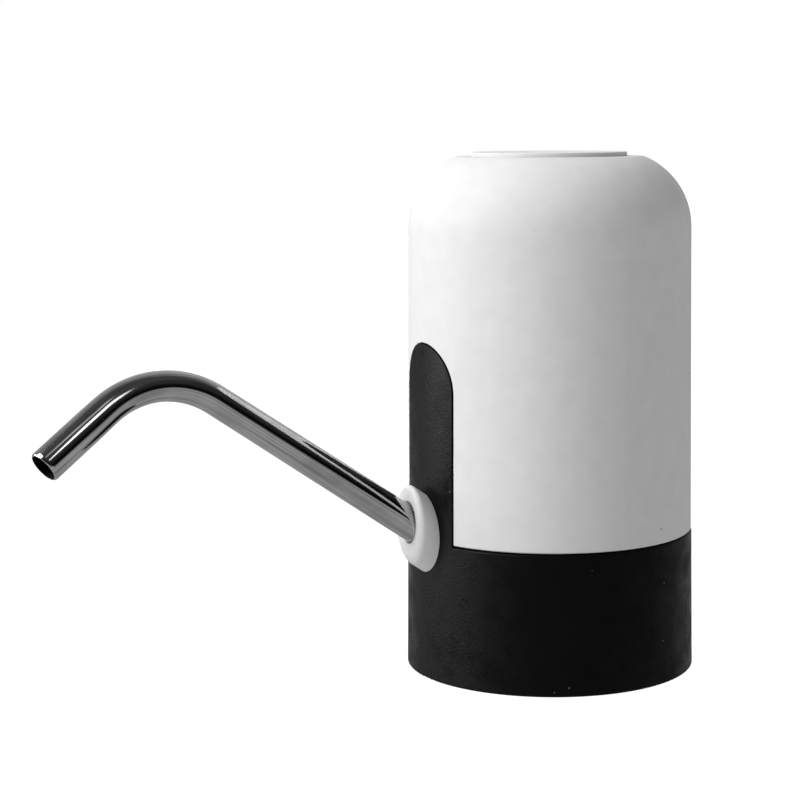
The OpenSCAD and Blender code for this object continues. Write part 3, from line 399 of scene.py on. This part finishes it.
def new_material(name):
    """An empty node material with its shader."""
    material = bpy.data.materials.new(name)
    material.use_nodes = True
    material.node_tree.nodes.clear()
    kit = Nodes(material.node_tree)
    shader = kit.add("ShaderNodeBsdfPrincipled")
    out = kit.add("ShaderNodeOutputMaterial")
    kit.join(shader.outputs["BSDF"], out.inputs["Surface"])
    return material, kit, shader


def shade_normal(kit, shader, height, strength, depth, edge):
    """Bump on top of softly rounded edges."""
    bump = kit.add("ShaderNodeBump")
    bump.inputs["Strength"].default_value = strength
    bump.inputs["Distance"].default_value = depth
    kit.join(height, bump.inputs["Height"])
    if edge:
        bevel = kit.add("ShaderNodeBevel", samples=6)
        bevel.inputs["Radius"].default_value = edge
        kit.join(bevel.outputs["Normal"], bump.inputs["Normal"])
    kit.join(bump.outputs["Normal"], shader.inputs["Normal"])


def darker(tone, part):
    """A tone at a part of its brightness."""
    return [channel * part for channel in tone]


def moulded(
    name,
    tone,
    roughness,
    depth=0.00002,
    edge=0.0003,
    specks=None,
    shade=0.06,
    gloss=0.5,
    patches=PATCH_SCALE,
    spread=0.04,
):
    """Moulded plastic or rubber: fine grain, slow patches of gloss, and specks of another tone if asked."""
    material, kit, shader = new_material(name)
    shader.inputs["Specular IOR Level"].default_value = gloss
    grain = use_group(kit, GRAIN, scale=GRAIN_SCALE, patch_scale=patches)
    patch = kit.remap(grain.outputs["Patch"], *MOULDED_PATCH, 0.0, 1.0)
    body = kit.mix(patch, tone, darker(tone, 1.0 - shade))
    if specks:
        speck_tone, (scale, size, part) = specks
        dots = use_group(kit, SPECKS, scale=scale, size=size, share=part)
        body = kit.mix(dots.outputs["Mask"], body, speck_tone)
    kit.join(body, shader.inputs["Base Color"])
    varied = kit.remap(patch, 0.0, 1.0, roughness - spread, roughness + spread)
    kit.join(varied, shader.inputs["Roughness"])
    shade_normal(kit, shader, grain.outputs["Height"], MOULDED_BUMP, depth, edge)
    return material


def metal(name, tone, roughness, drawn=0.0, worn=0.72, smears=(0.35, 0.75)):
    """Bare metal with smears and fine marks, and lines along a drawn tube if asked."""
    material, kit, shader = new_material(name)
    shader.inputs["Metallic"].default_value = 1.0
    grain = use_group(kit, GRAIN, scale=METAL_GRAIN, patch_scale=METAL_SMEARS)
    patch = kit.remap(grain.outputs["Patch"], *smears, 0.0, 1.0)
    shade = patch
    if drawn:
        place = kit.add("ShaderNodeAttribute", attribute_type="GEOMETRY", attribute_name=DRAWN)
        stretch = kit.add("ShaderNodeMapping")
        stretch.inputs["Scale"].default_value = DRAWN_STRETCH
        kit.join(place.outputs["Vector"], stretch.inputs["Vector"])
        lines = kit.add("ShaderNodeTexNoise", scale=1.0, detail=3.0)
        kit.join(stretch.outputs["Vector"], lines.inputs["Vector"])
        marks = kit.remap(lines.outputs["Fac"], *smears, 0.0, drawn)
        shade = kit.math("ADD", kit.math("MULTIPLY", patch, 1.0 - drawn), marks)
    kit.join(kit.mix(shade, tone, darker(tone, worn)), shader.inputs["Base Color"])
    smooth, rough = METAL_GLOSS
    varied = kit.remap(shade, 0.0, 1.0, roughness * smooth, roughness * rough)
    kit.join(varied, shader.inputs["Roughness"])
    shade_normal(kit, shader, grain.outputs["Height"], METAL_BUMP, METAL_DEPTH, METAL_EDGE)
    return material


def clear_lens(name, tone):
    """Clear moulded lens of a small light."""
    material, kit, shader = new_material(name)
    shader.inputs["Transmission Weight"].default_value = LENS_CLEAR
    patch = use_group(kit, GRAIN, scale=LENS_GRAIN).outputs["Patch"]
    kit.join(kit.mix(patch, tone, darker(tone, LENS_SHADE)), shader.inputs["Base Color"])
    kit.join(kit.remap(patch, 0.0, 1.0, *LENS_GLOSS), shader.inputs["Roughness"])
    return material


def dress(material, *names):
    """Gives CAD nodes their finish."""
    for name in names:
        mesh = frame["nodes"][name].data
        mesh.materials.clear()
        mesh.materials.append(material)


def new_piece(bm, name, material, body):
    """Turns a finished bmesh into a piece that rides on a body."""
    bmesh.ops.recalc_face_normals(bm, faces=bm.faces)
    mesh = bpy.data.meshes.new(name)
    bm.to_mesh(mesh)
    bm.free()
    mesh.shade_smooth()
    mesh.set_sharp_from_angle(angle=SHARP_ANGLE)
    mesh.materials.append(material)
    piece = bpy.data.objects.new(name, mesh)
    bpy.context.scene.collection.objects.link(piece)
    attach(piece, body)
    return piece


class Loft:
    """A round skin that grows ring by ring from an open circle."""

    def __init__(self, sides, place):
        self.bm = bmesh.new()
        self.way = self.bm.verts.layers.float_vector.new(DRAWN)
        self.points = bmesh.ops.create_circle(self.bm, segments=sides, radius=1.0)["verts"]
        for point in self.points:
            point[self.way] = point.co
        bmesh.ops.transform(self.bm, matrix=place, verts=self.points)
        self.ring = list(self.bm.edges)
        self.first = list(self.ring)
        self.place = place

    def grow(self, place):
        """Extrudes the open end to a new place for the unit circle."""
        made = bmesh.ops.extrude_edge_only(self.bm, edges=self.ring)["geom"]
        self.points = [part for part in made if isinstance(part, bmesh.types.BMVert)]
        fresh = set(self.points)
        edges = [part for part in made if isinstance(part, bmesh.types.BMEdge)]
        self.ring = [edge for edge in edges if set(edge.verts) <= fresh]
        bmesh.ops.transform(self.bm, matrix=place @ self.place.inverted(), verts=self.points)
        gone = (place.translation - self.place.translation).length
        for point in self.points:
            point[self.way] += Vector((0.0, 0.0, gone))
        self.place = place


class PUMP_OT_housing(Operator):
    """Finish the white housing and the button"""

    bl_idname = "pump.housing"
    bl_label = "White housing"

    def execute(self, context):
        finish = context.scene.pump_finish
        specks = (finish.shell_speck, SHELL_SPECKS)
        white = moulded(
            "white plastic",
            finish.shell,
            finish.shell_roughness,
            specks=specks,
            shade=0.05,
            gloss=finish.shell_gloss,
            patches=200.0,
        )
        dress(white, "upper_shell")
        soft = moulded(
            "white button",
            finish.shell,
            finish.shell_roughness,
            edge=0.0005,
            specks=specks,
            shade=0.03,
            gloss=finish.shell_gloss,
        )
        dress(soft, "button_cap")
        return {"FINISHED"}


class PUMP_OT_base(Operator):
    """Finish the black base and its tongue"""

    bl_idname = "pump.base"
    bl_label = "Black base"

    def execute(self, context):
        finish = context.scene.pump_finish
        black = moulded(
            "black plastic",
            finish.base,
            finish.base_roughness,
            depth=0.00020,
            specks=(finish.base_speck, BASE_SPECKS),
            shade=0.35,
            gloss=finish.base_gloss,
            patches=190.0,
            spread=0.14,
        )
        dress(black, "base_ring")
        return {"FINISHED"}


class PUMP_OT_collar(Operator):
    """Model the white collar with its rounded face, mouth and neck"""

    bl_idname = "pump.collar"
    bl_label = "White collar"

    def execute(self, context):
        finish = context.scene.pump_finish
        size = context.scene.pump_collar
        white = moulded(
            "white collar",
            finish.shell,
            finish.shell_roughness,
            edge=0.0,
            shade=0.03,
            gloss=finish.shell_gloss,
        )
        stretch = 1.0 / abs(ALONG.y)
        upright = Matrix.Rotation(math.pi / 2, 4, "X")
        square = Matrix.Rotation(math.pi / 2 - math.asin(ALONG.z), 4, "X")

        def across(far, radius):
            """A ring square to the tube."""
            ring = Matrix.Diagonal((radius, radius, radius, 1.0))
            return Matrix.Translation(FACE - ALONG * far) @ square @ ring

        def level(behind, half_width, half_height):
            """An upright ring, parallel to the collar's face."""
            middle = FACE - ALONG * (behind * stretch)
            ring = Matrix.Diagonal((half_width, half_height, 1.0, 1.0))
            return Matrix.Translation(middle) @ upright @ ring

        # Pocket and mouth, from the inner end out to the face
        skin = Loft(size.sides, across(size.inner, size.pocket))
        skin.grow(across(size.pocket_in, size.pocket))
        skin.grow(across(size.pocket_in, size.mouth))
        for part in MOUTH_STEPS:
            radius = size.mouth + size.mouth_edge * (1.0 - part) ** 2
            skin.grow(level(size.mouth_edge * part, radius, radius * stretch))

        # Rounded edge of the face, then the outside down to the base
        for i in range(size.edge_steps + 1):
            bow = math.pi / 2 * i / size.edge_steps
            inset = size.edge * (1.0 - math.sin(bow))
            behind = size.edge * (1.0 - math.cos(bow))
            skin.grow(level(behind, size.half_width - inset, size.half_height - inset * stretch))
        out = -FACE.y - size.seat
        skin.grow(level(out, size.half_width, size.half_height))
        self.sit(skin, size.seat)

        # Neck, back to the inner end
        skin.grow(level(out, size.neck, size.neck * stretch))
        self.sit(skin, size.seat)
        skin.grow(across(size.inner, size.neck))
        bmesh.ops.bridge_loops(skin.bm, edges=skin.first + skin.ring)
        collar = new_piece(skin.bm, "collar_white", white, "housing")
        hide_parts("spout_collar")
        return {"FINISHED"}

    @staticmethod
    def sit(skin, seat):
        """Slides the last ring along the tube's line onto the round base."""
        for point in skin.points:
            reach = -math.sqrt(seat ** 2 - point.co.x ** 2)
            point.co += ALONG * ((reach - point.co.y) / ALONG.y)


class PUMP_OT_spout(Operator):
    """Model the bent steel spout as one smooth tube"""

    bl_idname = "pump.spout"
    bl_label = "Steel spout"

    def execute(self, context):
        finish = context.scene.pump_finish
        size = context.scene.pump_spout
        steel = metal(
            "polished steel", finish.steel, finish.steel_roughness, drawn=0.75, worn=0.5, smears=(0.42, 0.62)
        )
        # The bore's rough finish is its own; its near-black colour is painted shade inside the tube
        painted_shade_bore = metal("dull bore", finish.bore, roughness=0.6)
        side = Matrix.Rotation(size.swing, 3, ALONG) @ Vector((1.0, 0.0, 0.0))
        cut_back = size.bend * math.tan(size.turn / 2)
        bend_from = FACE + ALONG * (size.run - cut_back)
        centre = bend_from + side.cross(ALONG) * size.bend
        square = ALONG.to_track_quat("Z", "X").to_matrix().to_4x4()
        down = Matrix.Rotation(size.turn, 3, side) @ ALONG

        def across(middle, turned, radius):
            """A ring square to the tube, at its turn in the bend."""
            aim = Matrix.Rotation(turned, 4, side) @ square
            return Matrix.Translation(middle) @ aim @ Matrix.Diagonal((radius, radius, radius, 1.0))

        # Rising run
        stations = [
            (FACE - ALONG * size.inner, 0.0, size.collar_radius),
            (FACE - ALONG * (size.inner - size.land), 0.0, size.collar_radius),
            (FACE + ALONG * size.full_run, 0.0, size.collar_radius),
            (bend_from, 0.0, size.drawn_radius),
        ]

        # Bend, thinnest in its middle
        arc = size.bend * size.turn / 2
        for i in range(1, size.steps + 1):
            turned = size.turn * i / size.steps
            done = 2 * i / size.steps - 1
            if done <= 0:
                radius = size.bend_radius - (size.drawn_radius - size.bend_radius) * done
            else:
                gain = (size.tip_radius - size.bend_radius) * done
                radius = size.bend_radius + gain * arc / (arc + size.swell)
            middle = centre + Matrix.Rotation(turned, 3, side) @ (bend_from - centre)
            stations.append((middle, turned, radius))

        # Falling run, with its edge rolled in at the tip
        end = middle + down * (size.tip - cut_back)
        stations.append((middle + down * size.swell, size.turn, size.tip_radius))
        rolled = []
        for i in range(size.roll_steps + 1):
            bow = size.roll_turn * i / size.roll_steps
            back = size.roll * (math.sin(size.roll_turn) - math.sin(bow))
            radius = size.tip_radius - size.roll_in * (1.0 - math.cos(bow))
            rolled.append((end - down * back, size.turn, radius))

        # Outside to the tip, then back along the bore
        skin = Loft(size.sides, across(*stations[0]))
        for station in stations[1:] + rolled:
            skin.grow(across(*station))
        skin.grow(across(end, size.turn, size.tip_radius - size.wall))
        bm = skin.bm
        outside = set(bm.faces)
        for middle, turned, radius in reversed(stations):
            skin.grow(across(middle, turned, radius - size.wall))
        # Faces inside the tube take the second material, the bore's painted shade
        for part in bm.faces:
            part.material_index = int(part not in outside)
        bmesh.ops.bridge_loops(bm, edges=skin.first + skin.ring)
        rims = [edge for edge in bm.edges if edge.calc_face_angle(0.0) > RIM_ANGLE]
        bmesh.ops.bevel(
            bm, geom=rims, offset=size.rim, segments=3, profile=0.5, affect="EDGES", material=-1
        )
        tube = new_piece(bm, "spout_steel", steel, "spout")
        tube.data.materials.append(painted_shade_bore)
        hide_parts("spout_tube")
        return {"FINISHED"}


class PUMP_OT_socket(Operator):
    """Finish the socket under the base, and the pieces that the water runs through"""

    bl_idname = "pump.socket"
    bl_label = "Jug socket"

    def execute(self, context):
        finish = context.scene.pump_finish
        dress(moulded("grey grip", finish.grip, roughness=0.55, depth=0.00004), "neck_sleeve")
        silicone = moulded("milky silicone", finish.silicone, roughness=0.5)
        dress(silicone, "neck_gasket", "spout_bush", "inlet_hose", "outlet_hose")
        natural = moulded("natural plastic", finish.natural, roughness=0.4)
        dress(natural, "inlet_nipple", "nipple_nut", "outlet_elbow", "pump_body", "pump_cover")
        rubber = moulded("black rubber", finish.rubber, roughness=0.65)
        dress(rubber, "nipple_gasket", "pump_gasket", "shaft_seal")
        return {"FINISHED"}


class PUMP_OT_works(Operator):
    """Finish the pump's works inside the housing"""

    bl_idname = "pump.works"
    bl_label = "Inner works"

    def execute(self, context):
        works = context.scene.pump_works
        dress(moulded("gear plastic", works.gears, roughness=0.45), "drive_gear", "driven_gear")
        dress(moulded("carrier plastic", works.carrier, roughness=0.55), "carrier")
        plated = metal("plated steel", works.plated, roughness=0.28)
        dress(plated, "carrier_screws", "pump_screws", "board_screws", "charge_screws", "idler_pin")
        dress(plated, "motor_can", "motor_shaft", "usb_socket", "battery_tabs")
        dress(moulded("insulator", works.insulator, roughness=0.45), "motor_endcap", "switch_body")
        brass = metal("brass", works.brass, roughness=0.3)
        dress(brass, "motor_terminals", "motor_bushes", "commutator")
        dress(moulded("magnet", works.magnets, roughness=0.7, depth=0.00006), "motor_magnets")
        dress(moulded("armature", works.armature, roughness=0.4, depth=0.00006), "rotor_core")
        dress(moulded("cell sleeve", works.cell, roughness=0.3, depth=0.000008), "battery_cell")
        board = moulded("board", works.boards, roughness=0.35, depth=0.000008)
        dress(board, "control_board", "charge_board")
        dress(moulded("switch stem", works.stem, roughness=0.4), "switch_plunger")
        dress(clear_lens("light lens", works.lens), "status_leds")
        dress(moulded("red lead", works.red_lead, roughness=0.5), "motor_leads", "charge_leads")
        dress(moulded("black lead", works.black_lead, roughness=0.5), "battery_leads")
        return {"FINISHED"}


class PUMP_OT_studio(Operator):
    """Set the floor, the soft lights, the surroundings and the camera"""

    bl_idname = "pump.studio"
    bl_label = "Studio"

    def execute(self, context):
        studio = context.scene.pump_studio
        context.scene.view_settings.view_transform = "Standard"
        toward = Vector((math.sin(studio.turn), -math.cos(studio.turn), 0.0))
        left = Vector((-math.cos(studio.turn), -math.sin(studio.turn), 0.0))
        self.floor(studio)
        self.surroundings(context.scene, studio, toward)
        for name, power, (aside, ahead, up), size, lights_matt in LIGHTS:
            offset = left * aside + toward * ahead + Vector((0.0, 0.0, up))
            lamp = self.soft_light(name, offset, size, getattr(studio, power))
            lamp.visible_diffuse = lights_matt
        self.camera(context.scene, studio)
        return {"FINISHED"}

    @staticmethod
    def camera(scene, studio):
        """The camera, turned round the pump, pitched down and rolled."""
        lens = bpy.data.cameras.new("camera")
        lens.lens = studio.lens
        lens.sensor_width = SENSOR
        lens.shift_x, lens.shift_y = studio.shift
        lens.clip_start = CLIP_START
        camera = bpy.data.objects.new("camera", lens)
        camera.location = studio.camera_at
        aim = Matrix.Rotation(studio.turn, 3, "Z") @ Matrix.Rotation(math.pi / 2 - studio.pitch, 3, "X")
        camera.rotation_euler = (aim @ Matrix.Rotation(studio.roll, 3, "Z")).to_euler()
        scene.collection.objects.link(camera)
        scene.camera = camera

    @staticmethod
    def soft_light(name, offset, size, power):
        """A rectangular light that faces the lit point."""
        light = bpy.data.lights.new(name, "AREA")
        light.shape = "RECTANGLE"
        light.size, light.size_y = size
        light.energy = power
        lamp = bpy.data.objects.new(name, light)
        lamp.location = LIT_POINT + offset
        lamp.rotation_euler = (-offset).to_track_quat("-Z", "Y").to_euler()
        bpy.context.scene.collection.objects.link(lamp)
        return lamp

    @staticmethod
    def floor(studio):
        """A pale floor, plain white to the camera and dimmer where the pump mirrors it."""
        bm = bmesh.new()
        bmesh.ops.create_circle(bm, segments=FLOOR_SIDES, radius=FLOOR_RADIUS, cap_ends=True)
        mesh = bpy.data.meshes.new("floor")
        bm.to_mesh(mesh)
        bm.free()
        floor = bpy.data.objects.new("floor", mesh)
        bpy.context.scene.collection.objects.link(floor)
        material = bpy.data.materials.new("pale floor")
        material.use_nodes = True
        material.node_tree.nodes.clear()
        kit = Nodes(material.node_tree)
        path = kit.add("ShaderNodeLightPath")
        place = kit.add("ShaderNodeTexCoord")
        reach = kit.add("ShaderNodeVectorMath", operation="LENGTH")
        kit.join(place.outputs["Object"], reach.inputs[0])
        far = reach.outputs["Value"]
        seen = kit.remap(far, *FLOOR_SPAN, *FLOOR_SEEN)
        fade = [studio.floor_end * part for part in FLOOR_FADE]
        mirrored = kit.remap(far, *fade, studio.floor_mirror, 0.0)
        given = kit.choose(path.outputs["Is Glossy Ray"], studio.floor_fill, mirrored)
        strength = kit.choose(path.outputs["Is Camera Ray"], given, seen)
        glow = kit.add("ShaderNodeEmission")
        kit.join(strength, glow.inputs["Strength"])
        matt = kit.add("ShaderNodeBsdfDiffuse", color=FLOOR_TONE)
        blend = kit.add("ShaderNodeMixShader", fac=FLOOR_MATT)
        kit.join(glow.outputs[0], blend.inputs[1])
        kit.join(matt.outputs[0], blend.inputs[2])
        out = kit.add("ShaderNodeOutputMaterial")
        kit.join(blend.outputs[0], out.inputs["Surface"])
        mesh.materials.append(material)

    @staticmethod
    def surroundings(scene, studio, toward):
        """A dark studio with a pale wall behind the pump, and plain white where the camera looks past it."""
        world = bpy.data.worlds.new("studio")
        world.use_nodes = True
        world.node_tree.nodes.clear()
        kit = Nodes(world.node_tree)
        path = kit.add("ShaderNodeLightPath")
        place = kit.add("ShaderNodeTexCoord")
        behind = kit.add("ShaderNodeVectorMath", operation="DOT_PRODUCT")
        kit.join(place.outputs["Generated"], behind.inputs[0])
        behind.inputs[1].default_value = -toward
        split = kit.add("ShaderNodeSeparateXYZ")
        kit.join(place.outputs["Generated"], split.inputs[0])
        wall = kit.remap(behind.outputs["Value"], *WALL_SPAN, 0.0, studio.wall_light)
        height = kit.remap(split.outputs["Z"], *CEILING_SPAN, 0.0, 1.0)
        ceiling = kit.remap(path.outputs["Is Diffuse Ray"], 0.0, 1.0, studio.sky_light, studio.sky_fill)
        dim = kit.math("ADD", wall, kit.math("MULTIPLY", height, ceiling))
        strength = kit.choose(path.outputs["Is Camera Ray"], dim, 1.0)
        glow = kit.add("ShaderNodeBackground", color=PLAIN_WHITE)
        kit.join(strength, glow.inputs["Strength"])
        out = kit.add("ShaderNodeOutputWorld")
        kit.join(glow.outputs[0], out.inputs["Surface"])
        scene.world = world


class PUMP_PT_pieces(Panel):
    """Lists the pump's pieces and settings"""

    bl_idname = "PUMP_PT_pieces"
    bl_label = "Water jug pump"
    bl_space_type = "VIEW_3D"
    bl_region_type = "UI"
    bl_category = "Jug Pump"

    def draw(self, context):
        for operator in OPERATORS:
            self.layout.operator(operator.bl_idname)
        for name, group in SETTINGS.items():
            box = self.layout.box()
            for label in group.__annotations__:
                box.prop(getattr(context.scene, name), label)


SETTINGS = {
    "pump_finish": FinishSettings,
    "pump_works": WorksSettings,
    "pump_spout": SpoutSettings,
    "pump_collar": CollarSettings,
    "pump_studio": StudioSettings,
}
OPERATORS = (
    PUMP_OT_housing,
    PUMP_OT_base,
    PUMP_OT_collar,
    PUMP_OT_spout,
    PUMP_OT_socket,
    PUMP_OT_works,
    PUMP_OT_studio,
)
CLASSES = (*SETTINGS.values(), *OPERATORS, PUMP_PT_pieces)


def register():
    for cls in CLASSES:
        bpy.utils.register_class(cls)
    for name, group in SETTINGS.items():
        setattr(bpy.types.Scene, name, PointerProperty(type=group))


def unregister():
    for name in SETTINGS:
        delattr(bpy.types.Scene, name)
    for cls in reversed(CLASSES):
        bpy.utils.unregister_class(cls)


def main():
    register()
    bpy.ops.pump.housing()
    bpy.ops.pump.base()
    bpy.ops.pump.collar()
    bpy.ops.pump.spout()
    bpy.ops.pump.socket()
    bpy.ops.pump.works()
    bpy.ops.pump.studio()


if __name__ == "__main__":
    main()
